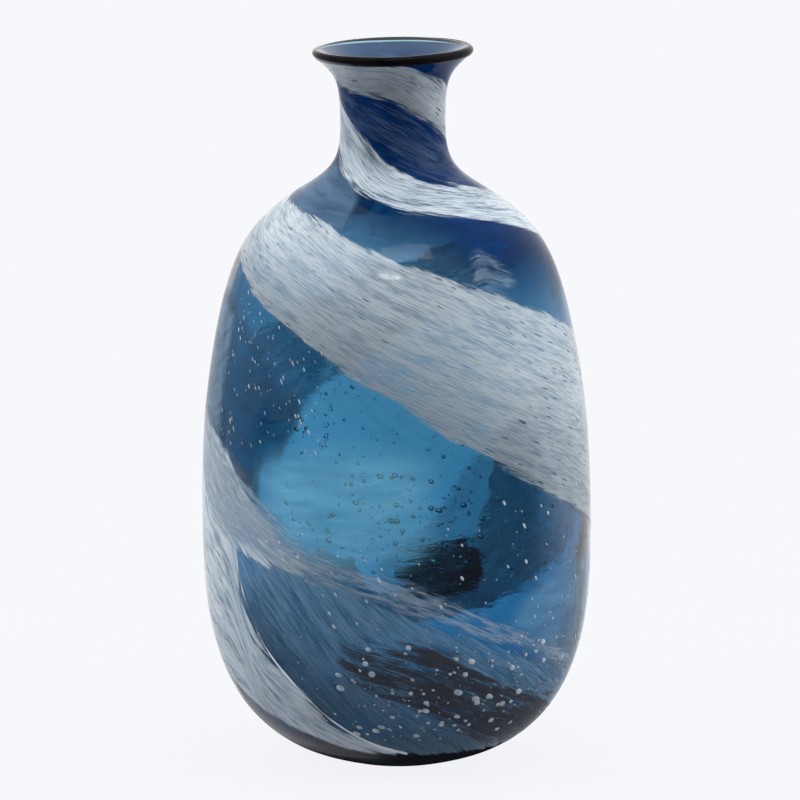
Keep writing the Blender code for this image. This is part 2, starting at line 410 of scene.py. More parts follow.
class FritPattern:
    """The node group that draws powdered glass out into strands, dashes and a feathered edge."""

    NAME = "drawn out frit"
    INPUTS = (
        ("Strands", "NodeSocketVector", (0.0, 0.0, 0.0)),
        ("Inside", "NodeSocketFloat", 0.0),
        ("Feather", "NodeSocketFloat", 3.0),
        ("Dashes", "NodeSocketFloat", 0.6),
        ("Thin", "NodeSocketFloat", 0.2),
        ("Cover", "NodeSocketFloat", 1.0),
    )
    OUTPUTS = (("Cover", "NodeSocketFloat"), ("Tone", "NodeSocketFloat"))
    BROAD_STRAND = (34.0, 5.0)  # length and width in millimetres, here and below
    FINE_STRAND = (9.0, 0.8)
    DASH = (10.0, 1.6)
    LARGEST_DASH = 0.36  # as a share of the space round it
    BROAD_PUSH, FINE_PUSH = 3.4, 1.6  # how far strands reach past the edge, for each unit of feather

    @classmethod
    def group(cls) -> Tree:
        """The group, built the first time that it is asked for."""
        if cls.NAME in bpy.data.node_groups:
            return bpy.data.node_groups[cls.NAME]
        tree = new_group(cls.NAME, "ShaderNodeTree", cls.INPUTS, cls.OUTPUTS)
        graph = Graph(tree)
        given = graph.terms("NodeGroupInput")
        strands, feather = given["Strands"], given["Feather"]
        broad = graph.noise(graph.stretched(strands, *cls.BROAD_STRAND), 3.0, 0.4)
        fine = graph.noise(graph.stretched(strands, *cls.FINE_STRAND, 7.0), 2.5, 0.2)

        # The edge breaks up into feathers a few millimetres deep.
        push = (broad - 0.5) * cls.BROAD_PUSH + (fine - 0.5) * cls.FINE_PUSH
        body = graph.ease(given["Inside"] + push * feather, 0.0, feather)

        # Short gaps where the powder parted round a gas seed and was stretched with it.
        cells = graph.terms("ShaderNodeTexVoronoi", {
            "Vector": graph.stretched(strands, *cls.DASH, 3.0), "Scale": 1.0, "Randomness": 1.0})
        lot = graph.term("ShaderNodeSeparateColor", 0, {"Color": cells["Color"]})
        size = lot ** 1.5 * cls.LARGEST_DASH
        gap = 1.0 - graph.ease(cells["Distance"], size * 0.45, size)
        whole = 1.0 - gap * given["Dashes"]

        # Thin places let the glass underneath show between the strands.
        worn = 1.0 - graph.ease(broad * 0.5 + fine * 0.5, 0.56, 0.36) * given["Thin"]
        tone = graph.ease(fine * 0.65 + broad * 0.35, 0.28, 0.72)
        graph.add("NodeGroupOutput", {"Cover": body * whole * (worn * given["Cover"]), "Tone": tone})
        return tree


class Ripples:
    """The node group for the soft waves that tools and breath leave in a blown wall."""

    NAME = "blown ripples"
    WAVE = (26.0, 26.0, 15.0)  # cells in a metre, sideways twice and upwards
    CORD = (55.0, 55.0, 160.0)
    CORD_SHARE = 0.08
    DEPTH = 0.01

    @classmethod
    def group(cls) -> Tree:
        """The group, built the first time that it is asked for."""
        if cls.NAME in bpy.data.node_groups:
            return bpy.data.node_groups[cls.NAME]
        tree = new_group(cls.NAME, "ShaderNodeTree", [("Strength", "NodeSocketFloat", 0.1)],
                         [("Normal", "NodeSocketVector")])
        graph = Graph(tree)
        given = graph.terms("NodeGroupInput")
        place = graph.term("ShaderNodeTexCoord", "Object")
        wave = graph.noise(graph.scaled(place, cls.WAVE), 1.5, 0.5)
        cord = graph.noise(graph.scaled(place, cls.CORD), 2.0, 0.8)
        bump = graph.term("ShaderNodeBump", "Normal", {
            "Height": wave + cord * cls.CORD_SHARE, "Strength": given["Strength"], "Distance": cls.DEPTH})
        graph.add("NodeGroupOutput", {"Normal": bump})
        return tree


def new_material(name: str) -> tuple[Graph, Node]:
    """A material with only a principled shader and its output, as its graph and that shader."""
    material = bpy.data.materials.new(name)
    material.use_nodes = True
    return Graph(material.node_tree), material.node_tree.nodes["Principled BSDF"]


def opaque(colour: Sequence[float], level: float = 1.0) -> tuple[float, ...]:
    """A colour made darker by a level, with its fourth value."""
    return (*(value * level for value in colour), 1.0)


class Finish:
    """What the finishes have in common: a material built once and found again after that."""

    WHITE = (1.0, 1.0, 1.0)
    GLASS_IOR = 1.5
    GLOSS_ROUGHNESS = 0.08
    name: str

    def material(self) -> bpy.types.Material:
        """The material, built the first time that it is asked for."""
        if self.name not in bpy.data.materials:
            self.dress(*new_material(self.name))
        return bpy.data.materials[self.name]

    def dress(self, graph: Graph, shader: Node) -> None:
        """Sets up the shader of a new material."""
        raise NotImplementedError

    @staticmethod
    def waved(graph: Graph, strength: float) -> Term:
        """The direction of a surface with the soft waves of a blown wall."""
        return graph.term("ShaderNodeGroup", "Normal", {"Strength": strength}, node_tree=Ripples.group())

    @staticmethod
    def on_sheet(graph: Graph) -> tuple[Term, Term, Term]:
        """A sheet's strand coordinates, its distance inside the edge, and 1 where its inner side shows."""
        strands = graph.term("ShaderNodeUVMap", "UV", uv_map="strands")
        inside = graph.term("ShaderNodeAttribute", "Fac", attribute_name="inside")
        return strands, inside, graph.term("ShaderNodeNewGeometry", "Backfacing")


@dataclass(frozen=True)
class GlassFinish(Finish):
    """Clear coloured glass that darkens with its thickness.

    Attributes:
        name: Name of the material.
        passes: Share of red, green and blue light that 10 mm of the glass lets through.
        waves: Strength of the waves in its surface.
        gloss: Strength of its gloss, where 0.5 is that of plain glass.
    """

    name: str
    passes: Colour
    waves: float = 0.12
    gloss: float = 0.08

    def dress(self, graph: Graph, shader: Node) -> None:
        """Sets up the shader and the absorption inside."""
        graph.put(shader, {
            "Base Color": opaque(self.WHITE), "Roughness": 0.0, "IOR": self.GLASS_IOR,
            "Transmission Weight": 1.0, "Specular IOR Level": self.gloss,
            "Normal": self.waved(graph, self.waves)})
        loss = [-math.log(share) / (10.0 * MM) for share in self.passes]
        density = max(loss) * 1.02
        colour = opaque([1.0 - value / density for value in loss])
        volume = graph.term("ShaderNodeVolumeAbsorption", 0, {"Color": colour, "Density": density})
        graph.put(graph.tree.nodes["Material Output"], {"Volume": volume})


@dataclass(frozen=True)
class FritFinish(Finish):
    """Powdered glass melted into the surface.

    Attributes:
        name: Name of the material.
        light: Colour of its densest strands.
        dark: Colour between them.
        cover: How opaque it is in the middle, from 0 to 1.
        feather: How deep its ragged edge is, in millimetres.
        thin: How much it thins between the strands, from 0 to 1.
        dashes: How clear its short gaps are, from 0 to 1.
        shade: How much painted shade darkens it along its lower edge, from 0 to 1.
        gloss: Strength of its gloss, where 0.5 is that of plain glass.
        through: Share of the light from behind that shows through it on the inner side.
    """

    name: str
    light: Colour
    dark: Colour
    cover: float
    feather: float
    thin: float
    dashes: float = 0.0
    shade: float = 0.0
    gloss: float = 0.15
    through: float = 0.22

    SEEN_FROM_INSIDE = (0.12, 0.7, 1.0)
    PAINTED_SHADE_LEVEL = 0.25
    WAVES = 0.12

    def dress(self, graph: Graph, shader: Node) -> None:
        """Sets up the strands, the painted shade along the lower edge and the bluer inner side."""
        strands, inside, within = self.on_sheet(graph)
        pattern = graph.terms("ShaderNodeGroup", {
            "Strands": strands, "Inside": inside, "Feather": self.feather, "Dashes": self.dashes,
            "Thin": self.thin, "Cover": self.cover}, node_tree=FritPattern.group())
        tint = graph.mixed(pattern["Tone"], opaque(self.dark), opaque(self.light))
        # Painted shade: the colour darkens towards the lower edge, for the less light that falls there.
        rise = graph.term("ShaderNodeAttribute", "Fac", attribute_name="rise")
        low = (1.0 - graph.ease(rise, 0.0, 0.75)) * self.shade
        tint = graph.mixed(low, tint, opaque(self.dark, self.PAINTED_SHADE_LEVEL))
        graph.put(shader, {
            "Base Color": graph.mixed(within, tint, opaque(self.SEEN_FROM_INSIDE), "MULTIPLY"),
            "Alpha": pattern["Cover"] * (1.0 - within * self.through), "Roughness": self.GLOSS_ROUGHNESS,
            "Specular IOR Level": self.gloss, "Normal": self.waved(graph, self.WAVES)})


@dataclass(frozen=True)
class TintFinish(Finish):
    """A thin even film of colour that fades in from its edge, used both for tints of the glass and for
    painted shade and painted light.

    Attributes:
        name: Name of the material.
        colour: Its colour.
        cover: How opaque it becomes, from 0 to 1.
        fade: How far it takes to get there, in millimetres.
        streak: How much it varies along the strands, from 0 to 1.
        inner: Its colour from inside the vase.
        gloss: Strength of its gloss, where 0.5 is that of plain glass.
    """

    name: str
    colour: Colour
    cover: float
    fade: float
    streak: float = 0.3
    inner: Colour = (0.015, 0.10, 0.24)
    gloss: float = 0.05

    STREAK = (30.0, 6.0)  # length and width, in millimetres
    DARKEST = 0.7

    def dress(self, graph: Graph, shader: Node) -> None:
        """Sets up the film's streaks and its fading edge."""
        strands, inside, within = self.on_sheet(graph)
        drift = graph.ease(graph.noise(graph.stretched(strands, *self.STREAK), 3.0, 0.4), 0.3, 0.7)
        shade = graph.mixed(drift, opaque(self.colour), opaque(self.colour, self.DARKEST))
        depth = graph.ease(inside, 0.0, self.fade) * self.cover
        graph.put(shader, {
            "Base Color": graph.mixed(within, shade, opaque(self.inner)),
            "Alpha": depth * (1.0 - drift * self.streak), "Roughness": self.GLOSS_ROUGHNESS,
            "Specular IOR Level": self.gloss})


@dataclass(frozen=True)
class SmearFinish(Finish):
    """Plain shaded glass whose colour drifts a little, for the bead and the pale seeds.

    Attributes:
        name: Name of the material.
        light: Its lighter colour.
        dark: Its darker colour.
        roughness: Roughness of the surface.
        grain: Size of the drift, in millimetres.
        gloss: Strength of its gloss, where 0.5 is that of plain glass.
    """

    name: str
    light: Colour
    dark: Colour
    roughness: float = 0.06
    grain: float = 12.0
    gloss: float = 0.12

    def dress(self, graph: Graph, shader: Node) -> None:
        """Sets up the drifting colour."""
        drift = graph.noise(graph.term("ShaderNodeTexCoord", "Object"), 2.0, 0.3, 1.0 / (self.grain * MM))
        graph.put(shader, {
            "Base Color": graph.mixed(graph.ease(drift, 0.3, 0.7), opaque(self.dark), opaque(self.light)),
            "Roughness": self.roughness, "Specular IOR Level": self.gloss})


@dataclass(frozen=True)
class BubbleFinish(Finish):
    """The skin of a gas seed inside the glass."""

    name: str

    GAS_IN_GLASS_IOR = 0.6667

    def dress(self, graph: Graph, shader: Node) -> None:
        """Sets up a clear skin that bends light as gas inside glass does."""
        graph.put(shader, {
            "Base Color": opaque(self.WHITE), "Roughness": 0.0, "IOR": self.GAS_IN_GLASS_IOR,
            "Transmission Weight": 1.0})


# ----------------------------------------------------------------------------------- sub-assemblies


@dataclass
class GlassBody:
    """The clear blue glass of the whole vase: floor, body, shoulder, neck and flared mouth.

    Attributes:
        shape: The vase's form.
        base: Height of its underside, on the foot, in millimetres.
        floor: Height of the hollow's floor, in millimetres.
        segments: Columns round the axis.
        step: Distance between two rings, in millimetres.
    """

    shape: VaseShape
    base: float = 9.02
    floor: float = 15.0
    segments: int = 224
    step: float = 2.4

    def build(self, finish: GlassFinish) -> Piece:
        """The piece, which stands for both of the glass layers."""
        shape = self.shape
        outside = shape.section(np.arange(shape.length_at(self.base), shape.length[-1], self.step), 0.0)
        inner_curve = shape.surface - shape.outward * shape.wall_depth()[:, None]
        first = float(np.interp(self.floor, inner_curve[:, 1], shape.length))
        inside = shape.section(np.arange(first, shape.length[-1], self.step), shape.wall_depth())
        half = shape.wall[-1][1] / 2
        middle = shape.surface[-1] - shape.outward[-1] * half
        turn = np.radians(np.linspace(0.0, 180.0, 13))[:, None]
        rim = middle + half * (shape.outward[-1] * np.cos(turn) + shape.tangent[-1] * np.sin(turn))
        section = np.concatenate([[(0.0, self.base)], outside, rim, inside[::-1], [(0.0, self.floor)]])
        obj = MeshMaker.turned("glass_body", section, shape, self.segments)
        return MeshMaker.fit(obj, finish.material(), Slot.CLEAR, "inner_bubble", "outer_casing")


@dataclass
class Foot:
    """The dark gather under the body, ground to a flat that the vase stands on."""

    shape: VaseShape
    top: float = 9.0
    segments: int = 160

    def build(self, finish: GlassFinish) -> Piece:
        """The piece."""
        reach = float(self.shape.length_at(self.top))
        side = self.shape.section(np.linspace(0.0, reach, 14), 0.0)
        section = np.concatenate([[(0.0, 0.0)], side, [(0.0, self.top)]])
        obj = MeshMaker.turned("foot", section, self.shape, self.segments)
        return MeshMaker.fit(obj, finish.material(), Slot.FOOT, "foot_gather")


@dataclass
class LipBead:
    """The dark trail round the rim, thicker where the blower began and ended it.

    Attributes:
        shape: The vase's form.
        radius: Half of its mean thickness, in millimetres.
        swell: How much that grows and shrinks round the rim.
        thickest_at: Angle of the thickest place.
        beyond: How far its centre stands past the end of the wall, in millimetres.
        outset: How far its centre stands outside the middle of the wall, in millimetres.
    """

    shape: VaseShape
    radius: float = 1.7
    swell: float = 0.6
    thickest_at: float = 28.0
    beyond: float = 1.3
    outset: float = 0.3

    def build(self, finish: SmearFinish) -> Piece:
        """The piece."""
        shape = self.shape
        angles = np.arange(0.0, 360.0, 2.0)
        away = np.radians(angles - self.thickest_at)
        uneven = 0.08 * np.sin(3 * away) + 0.06 * np.cos(7 * away)
        radius = self.radius + self.swell * np.cos(away) + uneven
        under = shape.wall[-1][1] / 2 - self.outset
        centre = shape.surface[-1] - shape.outward[-1] * under + shape.tangent[-1] * self.beyond
        around = np.radians(np.arange(0.0, 360.0, 12.0))[:, None]
        r = centre[0] + radius[None, :] * np.cos(around)
        z = centre[1] + radius[None, :] * np.sin(around)
        points = shape.placed(r, z, np.broadcast_to(angles, r.shape))
        obj = MeshMaker.ring("lip_trail", points)
        return MeshMaker.fit(obj, finish.material(), Slot.LIP, "lip_bead")


def smooth_course(stations: Sequence[Station], column: int) -> Callable[[np.ndarray], np.ndarray]:
    """A smooth function of angle through one column of the stations, which never overshoots them."""
    x = np.array([station[0] for station in stations], float)
    y = np.array([station[column] for station in stations], float)
    slope = np.diff(y) / np.diff(x)
    tangent = np.concatenate([slope[:1], slope[:-1], slope[-1:]])[: len(x)]
    same = slope[:-1] * slope[1:] > 0
    both = np.where(same, slope[:-1] + slope[1:], 1)
    tangent[1:-1] = np.where(same, 2 * slope[:-1] * slope[1:] / both, 0)
    tangent[-1] = slope[-1]

    def value(at: np.ndarray) -> np.ndarray:
        """The height at some angles."""
        k = np.clip(np.searchsorted(x, at, side="right") - 1, 0, len(x) - 2)
        h = x[k + 1] - x[k]
        t = (at - x[k]) / h
        rise = (2 * t**3 - 3 * t**2 + 1) * y[k] + (3 * t**2 - 2 * t**3) * y[k + 1]
        return rise + h * ((t**3 - 2 * t**2 + t) * tangent[k] + (t**3 - t**2) * tangent[k + 1])

    return value


@dataclass
class FritCoat:
    """One application of frit, laid over the glass along a course of stations.

    Attributes:
        shape: The vase's form.
        name: Name of the piece.
        stations: Its course, as (angle, top height, bottom height).
        layer: Which coat it is.
        margin: How far the sheet goes past the frit's nominal edge, in millimetres.
        row: Distance between two rows of the sheet, in millimetres.
        step: Angle between two columns.
        shear: Slope of the strands against the frit's own course.
        edges: The edges where it fades out.
    """

    shape: VaseShape
    name: str
    stations: Sequence[Station]
    layer: Layer
    margin: float = 5.0
    row: float = 1.2
    step: float = 1.6
    shear: float = 0.0
    edges: Edge = Edge.TOP | Edge.BOTTOM | Edge.ENDS

    def build(self, finish: Finish, slot: Slot, *nodes: str) -> Piece:
        """The piece, which stands for the CAD nodes named."""
        shape = self.shape
        first, last = self.stations[0][0], self.stations[-1][0]
        angles = np.linspace(first, last, int((last - first) / self.step) + 1)
        top = shape.length_at(smooth_course(self.stations, 1)(angles))
        bottom = shape.length_at(smooth_course(self.stations, 2)(angles))
        centre = (top + bottom) / 2
        radius = np.interp(centre, shape.length, shape.surface[:, 0])
        turned = radius[:-1] * np.radians(np.diff(angles))
        climb = np.abs(np.stack([np.diff(edge) / turned for edge in (top, bottom)]))
        square = 1.0 / np.sqrt(1.0 + np.concatenate([climb[:, :1], climb], axis=1) ** 2)
        travel = np.concatenate([[0.0], np.cumsum(np.hypot(turned, np.diff(centre)))])

        low = np.clip(bottom - self.margin, 0.0, None)
        high = np.clip(top + self.margin, None, shape.length[-1] - 0.2)
        share = np.linspace(0.0, 1.0, math.ceil(float(np.max(high - low)) / self.row) + 1)[:, None]
        along = low + (high - low) * share
        rise = (along - bottom) / (top - bottom)
        distances = {
            Edge.TOP: (top - along) * square[0],
            Edge.BOTTOM: (along - bottom) * square[1],
            Edge.ENDS: np.broadcast_to(np.minimum(travel, travel[-1] - travel), along.shape),
        }
        inside = np.minimum.reduce([distances[edge] for edge in self.edges])

        points = shape.laid(along, -self.layer.value, angles)
        length = np.broadcast_to(travel, along.shape)
        strands = np.stack([length, along - centre + self.shear * length], axis=-1) * MM
        obj = MeshMaker.sheet(self.name, points, strands, inside, np.broadcast_to(rise, along.shape))
        return MeshMaker.fit(obj, finish.material(), slot, *nodes)


@dataclass
class Thread:
    """A fine line of frit, such as the bright one where a fold of the white ends.

    Attributes:
        shape: The vase's form.
        name: Name of the piece.
        course: Its line, as (angle, height).
        width: Its width in the middle, in millimetres.
    """

    shape: VaseShape
    name: str
    course: Sequence[Point]
    width: float = 1.2

    def build(self, finish: FritFinish, slot: Slot) -> Piece:
        """The piece."""
        half = self.width / 2
        stations = [(angle, height + half, height - half) for angle, height in self.course]
        coat = FritCoat(self.shape, self.name, stations, Layer.THREAD, margin=1.5, row=0.6, step=0.8)
        return coat.build(finish, slot)


@dataclass
class SeedField:
    """Gas seeds scattered through one region of the wall.

    Attributes:
        shape: The vase's form.
        name: Name of the piece.
        region: (least angle, most angle, least height, most height).
        depth: How deep they lie below the outer surface, in millimetres.
        density: Seeds in each square centimetre at the thickest of the field.
        smallest: Least radius, in millimetres.
        largest: Most radius, in millimetres.
        stretch: Their length over their width.
        flat: Their thickness over their width.
        seed: Number that fixes where they lie.
        slope: How steeply they are drawn out downwards, for each unit sideways.
        edge: Share of the region in which they thin out towards its border.
    """

    shape: VaseShape
    name: str
    region: tuple[float, float, float, float]
    depth: float
    density: float
    smallest: float
    largest: float
    stretch: float
    flat: float
    seed: int
    slope: float = -0.45
    edge: float = 0.3

    TREE = "scattered seeds"
    GRID = (31, 41)

    def _carrier(self) -> Piece:
        """The patch of wall that the seeds are scattered on."""
        first, last, low, high = self.region
        shape = self.shape
        rows, columns = self.GRID
        across, up = np.linspace(0.0, 1.0, columns), np.linspace(0.0, 1.0, rows)[:, None]
        angles = np.broadcast_to(first + (last - first) * across, self.GRID)
        along = shape.length_at(low) + (shape.length_at(high) - shape.length_at(low)) * up
        points = shape.laid(np.broadcast_to(along, self.GRID), self.depth, angles)
        blank = np.zeros(self.GRID)
        obj = MeshMaker.sheet(self.name, points, np.zeros((rows, columns, 2)), blank, blank)
        border = np.minimum(np.minimum(up, 1.0 - up), np.minimum(across, 1.0 - across)) * 2.0
        MeshMaker.mark(obj.data, "share", np.clip(border / self.edge, 0.0, 1.0))
        turn = np.radians(angles)
        pull = np.stack([np.cos(turn), np.sin(turn), np.full(turn.shape, self.slope)], axis=-1)
        MeshMaker.mark(obj.data, "pull", pull, "FLOAT_VECTOR")
        return obj

    @classmethod
    def _tree(cls) -> Tree:
        """The scatter, built the first time that it is asked for."""
        if cls.TREE in bpy.data.node_groups:
            return bpy.data.node_groups[cls.TREE]
        names = ("Density", "Smallest", "Largest", "Stretch", "Flat")
        sizes = [(name, "NodeSocketFloat", None) for name in names]
        inputs = [("Geometry", "NodeSocketGeometry", None), *sizes, ("Seed", "NodeSocketInt", None),
                  ("Material", "NodeSocketMaterial", None)]
        tree = new_group(cls.TREE, "GeometryNodeTree", inputs, [("Geometry", "NodeSocketGeometry")])
        graph = Graph(tree)
        given = graph.terms("NodeGroupInput")

        def chance(low: float, high: float, offset: int) -> Term:
            """A random number for each seed."""
            inputs = {2: low, 3: high, 8: given["Seed"] + float(offset)}
            return graph.term("FunctionNodeRandomValue", 1, inputs, data_type="FLOAT")

        def named(name: str, kind: str) -> Term:
            """An attribute of the carrier."""
            node = graph.add("GeometryNodeInputNamedAttribute", {"Name": name}, data_type=kind)
            return Term(graph, node.outputs["Attribute"])

        scatter = graph.terms("GeometryNodeDistributePointsOnFaces", {
            "Mesh": given["Geometry"], "Density": given["Density"] * named("share", "FLOAT"),
            "Seed": given["Seed"]}, distribute_method="RANDOM")
        facing = graph.term("FunctionNodeAlignRotationToVector", 0, {
            "Rotation": scatter["Rotation"], "Vector": named("pull", "FLOAT_VECTOR")},
            axis="X", pivot_axis="Z")
        size = given["Smallest"] + chance(0.0, 1.0, 1) ** 2.6 * (given["Largest"] - given["Smallest"])
        long = size * (given["Stretch"] * chance(0.75, 1.25, 2))
        scale = graph.term("ShaderNodeCombineXYZ", 0, {"X": long, "Y": size, "Z": size * given["Flat"]})
        ball = graph.term("GeometryNodeMeshUVSphere", "Mesh", {"Segments": 10, "Rings": 7, "Radius": 1.0})
        placed = graph.term("GeometryNodeInstanceOnPoints", 0, {
            "Points": scatter["Points"], "Instance": ball, "Rotation": facing, "Scale": scale})
        real = graph.term("GeometryNodeRealizeInstances", 0, {"Geometry": placed})
        smooth = graph.term("GeometryNodeSetShadeSmooth", 0, {"Geometry": real})
        dressed = graph.term("GeometryNodeSetMaterial", 0, {
            "Geometry": smooth, "Material": given["Material"]})
        graph.add("NodeGroupOutput", {"Geometry": dressed})
        return tree

    def build(self, material: bpy.types.Material, slot: Slot) -> Piece:
        """The piece: every seed of the field as one plain mesh."""
        carrier = self._carrier()
        modifier = carrier.modifiers.new("seeds", "NODES")
        modifier.node_group = self._tree()
        values = {
            "Density": self.density * 1e4, "Smallest": self.smallest * MM, "Largest": self.largest * MM,
            "Stretch": self.stretch, "Flat": self.flat, "Seed": self.seed, "Material": material,
        }
        for item in modifier.node_group.interface.items_tree:
            if item.in_out == "INPUT" and item.name in values:
                modifier[item.identifier] = values[item.name]
        graph = bpy.context.evaluated_depsgraph_get()
        mesh = bpy.data.meshes.new_from_object(carrier.evaluated_get(graph), depsgraph=graph)
        carrier.modifiers.clear()
        bpy.data.objects.remove(carrier, do_unlink=True)
        mesh.name = self.name
        return MeshMaker.fit(new_object(self.name, mesh), material, slot)


# ---------------------------------------------------------------------------------------- colours

CLEAR_BLUE = GlassFinish("clear blue glass", passes=(0.095, 0.345, 0.55))
HEEL_GLASS = GlassFinish("dark heel glass", passes=(0.004, 0.03, 0.09), waves=0.05)
GATHER_SMOKE = FritFinish(
    "faint gather mark", light=(0.24, 0.34, 0.46), dark=(0.08, 0.15, 0.25), cover=0.5, feather=6.0,
    thin=1.0)
LIP_DARK = SmearFinish(
    "brown black lip glass", light=(0.008, 0.006, 0.007), dark=(0.002, 0.002, 0.003), gloss=0.05)
# Its shade is painted shade along the band's lower edge.
WHITE_BAND = FritFinish(
    "white frit band", light=(0.475, 0.52, 0.56), dark=(0.26, 0.33, 0.395), cover=0.9, feather=2.4,
    dashes=0.9, thin=0.28, shade=0.45, gloss=0.3)
WHITE_VEIL = FritFinish(
    "white frit veil", light=(0.51, 0.57, 0.62), dark=(0.27, 0.355, 0.44), cover=0.9, feather=3.0,
    dashes=0.5, thin=0.55, gloss=0.3)
SMOKE = FritFinish(
    "smoky white frit", light=(0.33, 0.40, 0.48), dark=(0.09, 0.17, 0.26), cover=0.62, feather=6.0,
    thin=1.0)
NECK_SMOKE = FritFinish(
    "neck streaks", light=(0.12, 0.19, 0.33), dark=(0.001, 0.02, 0.09), cover=0.42, feather=6.0, thin=1.0)
# Its shade is painted shade along the haze's lower edge.
HAZE = FritFinish(
    "thin blue haze", light=(0.15, 0.27, 0.40), dark=(0.035, 0.11, 0.21), cover=0.85, feather=3.0,
    dashes=0.2, thin=0.4, shade=0.7)
CHARCOAL = FritFinish(
    "charcoal frit", light=(0.05, 0.052, 0.064), dark=(0.014, 0.015, 0.021), cover=0.96, feather=9.0,
    thin=1.0, gloss=0.04)
NAVY = FritFinish(
    "navy frit", light=(0.0005, 0.048, 0.24), dark=(0.0003, 0.022, 0.13), cover=0.98, feather=6.0,
    thin=0.15, gloss=0.03, through=0.0)
# Darker blue for the thicker glass of the neck, and painted shade where the shaded back of the band shows
# through it; its inner colour is painted light, the neck lit blue from inside.
NECK_DEPTH_AND_SHADE = TintFinish(
    "dense blue and painted shade of the neck", colour=(0.0006, 0.024, 0.11), cover=0.97, fade=70.0, streak=0.06,
    inner=(0.05, 0.24, 0.54))
HEEL_TINT = TintFinish(
    "dark of the heel", colour=(0.011, 0.013, 0.019), cover=1.0, fade=22.0, streak=0.02,
    inner=(0.004, 0.01, 0.02), gloss=0.0)
# Painted shade: a dark blue film for the shaded inner side of the band at the back, seen through the vase.
BLUE_SHADE = TintFinish(
    "blue shade at the back", colour=(0.005, 0.08, 0.25), cover=0.4, fade=5.0, streak=0.3)
# Painted light: a pale film that brightens the clear glass low on the front.
FRONT_PAINTED_LIGHT = TintFinish("pale painted light", colour=(0.28, 0.66, 0.83), cover=0.38, fade=24.0, streak=0.2)
# Painted light: a pale film that brightens the clear glass low at the right.
RIGHT_PAINTED_LIGHT = TintFinish(
    "pale painted light at the right", colour=(0.30, 0.57, 0.76), cover=0.24, fade=10.0, streak=0.3)
# Painted shade: a slate blue film over the window at the front left, for the shaded back of the band seen
# through it.
SLATE_SHADE = TintFinish("slate blue shade", colour=(0.010, 0.085, 0.20), cover=0.66, fade=7.0, streak=0.25)
# Painted shade: a deep blue film just under the band, darkening the clear glass below it.
SHADE_UNDER_BAND = TintFinish("deep blue under the band", colour=(0.004, 0.06, 0.15), cover=0.28, fade=34.0)
SHOULDER_HAZE = TintFinish(
    "slate haze on the shoulder", colour=(0.075, 0.145, 0.25), cover=0.85, fade=5.0, streak=0.12)
SIDE_HAZE = TintFinish(
    "slate haze on the side", colour=(0.115, 0.205, 0.30), cover=0.75, fade=9.0, streak=0.12)
BRIGHT_THREAD = FritFinish(
    "bright white thread", light=(0.72, 0.77, 0.81), dark=(0.50, 0.57, 0.63), cover=0.9, feather=0.6,
    thin=0.3)
DARK_THREAD = FritFinish(
    "dark blue line", light=(0.008, 0.05, 0.12), dark=(0.004, 0.025, 0.07), cover=0.85, feather=0.5,
    thin=0.3, gloss=0.05)
GAS_SEED = BubbleFinish("gas seed")
PALE_SEED = SmearFinish(
    "pale seed", light=(0.42, 0.48, 0.54), dark=(0.24, 0.30, 0.36), roughness=0.2, grain=3.0)

# --------------------------------------------------------------------------------- courses of frit

LONG_SWIRL: Course = (
    (-125, 327, 322), (-100, 330, 316.5), (-70, 332, 312.5), (-10, 330, 308.5), (12, 326, 304.5),
    (28, 321.5, 300.5), (60, 315.5, 291.5), (120, 303, 274), (190, 284, 254), (270, 262, 238),
    (315, 258, 214), (360, 243, 178.5), (405, 222.5, 137.5), (450, 196, 105), (485, 172, 70),
    (500, 146, 56), (508, 120, 50), (519, 61, 45), (548, 56, 33), (557, 76, 29), (585, 78, 19),
    (615, 50, 13.5), (650, 22, 10.5),
)
SHORT_SWIRL: Course = (
    (-205, 325, 321.5), (-142, 320, 306), (-90, 312, 286), (-45, 296, 272.5), (0, 278.5, 261.5),
    (45, 270.5, 254.5), (90, 265, 241.5), (138, 248, 214), (180, 222, 178), (226, 194, 133),
    (250, 177, 95), (272, 165, 60), (290, 158, 38), (300, 148, 31), (304, 128, 28), (308, 87.5, 26),
    (314, 66, 23), (324, 49, 19), (338, 28, 13.5), (360, 14.5, 11),
)
WISP: Course = (
    (256, 179, 174.5), (272, 168, 146.5), (290, 160, 115.5), (310, 142, 106), (330, 119, 98),
    (345, 109, 92), (355, 103, 88), (372, 93, 79), (392, 79, 66), (421, 60, 50), (445, 48, 42),
)
VEIL_FOLD: Course = (
    (-74, 160, 120), (-60, 152, 108), (-50, 136, 104), (-38, 121, 101), (-26, 109, 99), (-16, 101, 97),
)
LOWER_HAZE: Course = (
    (-58, 104, 92), (-46, 110, 62), (-33, 108, 44), (-22, 104, 28), (-10, 94, 17), (4, 84, 12),
    (24, 72, 11), (50, 56, 10.5), (80, 44, 10.5), (112, 26, 11),
)
NECK_RING: Course = (
    (-180, 325.4, 212), (-60, 325.4, 238), (0, 325.4, 208), (45, 325.4, 184), (90, 325.4, 196),
    (180, 325.4, 212),
)
HEEL_RING: Course = (
    (-180, 28, 0.2), (-60, 17, 0.2), (-25, 15, 0.2), (10, 27, 0.2), (80, 30, 0.2), (180, 28, 0.2),
)
BACK_SHADE: Course = (
    (122, 152, 64), (140, 146, 54), (150, 132, 47), (156, 121, 45), (162, 107, 45), (170, 92, 47),
    (180, 82, 52), (188, 72, 62),
)
SHADE_UNDER_BAND_COURSE: Course = (
    (-50, 216, 196), (-28, 202, 164), (-4, 184, 136), (20, 160, 116), (39, 144, 104), (60, 126, 96),
)
FILM_FRONT: Course = ((-50, 152, 112), (-34, 164, 92), (-16, 168, 90), (2, 166, 97), (16, 156, 112))
FILM_RIGHT: Course = ((34, 84, 66), (48, 98, 52), (64, 106, 44), (90, 98, 40))
SLATE: Course = (
    (-78, 246, 156), (-60, 234, 146), (-47, 226, 140), (-37, 218, 152), (-29, 210, 168), (-21, 202, 190),
)
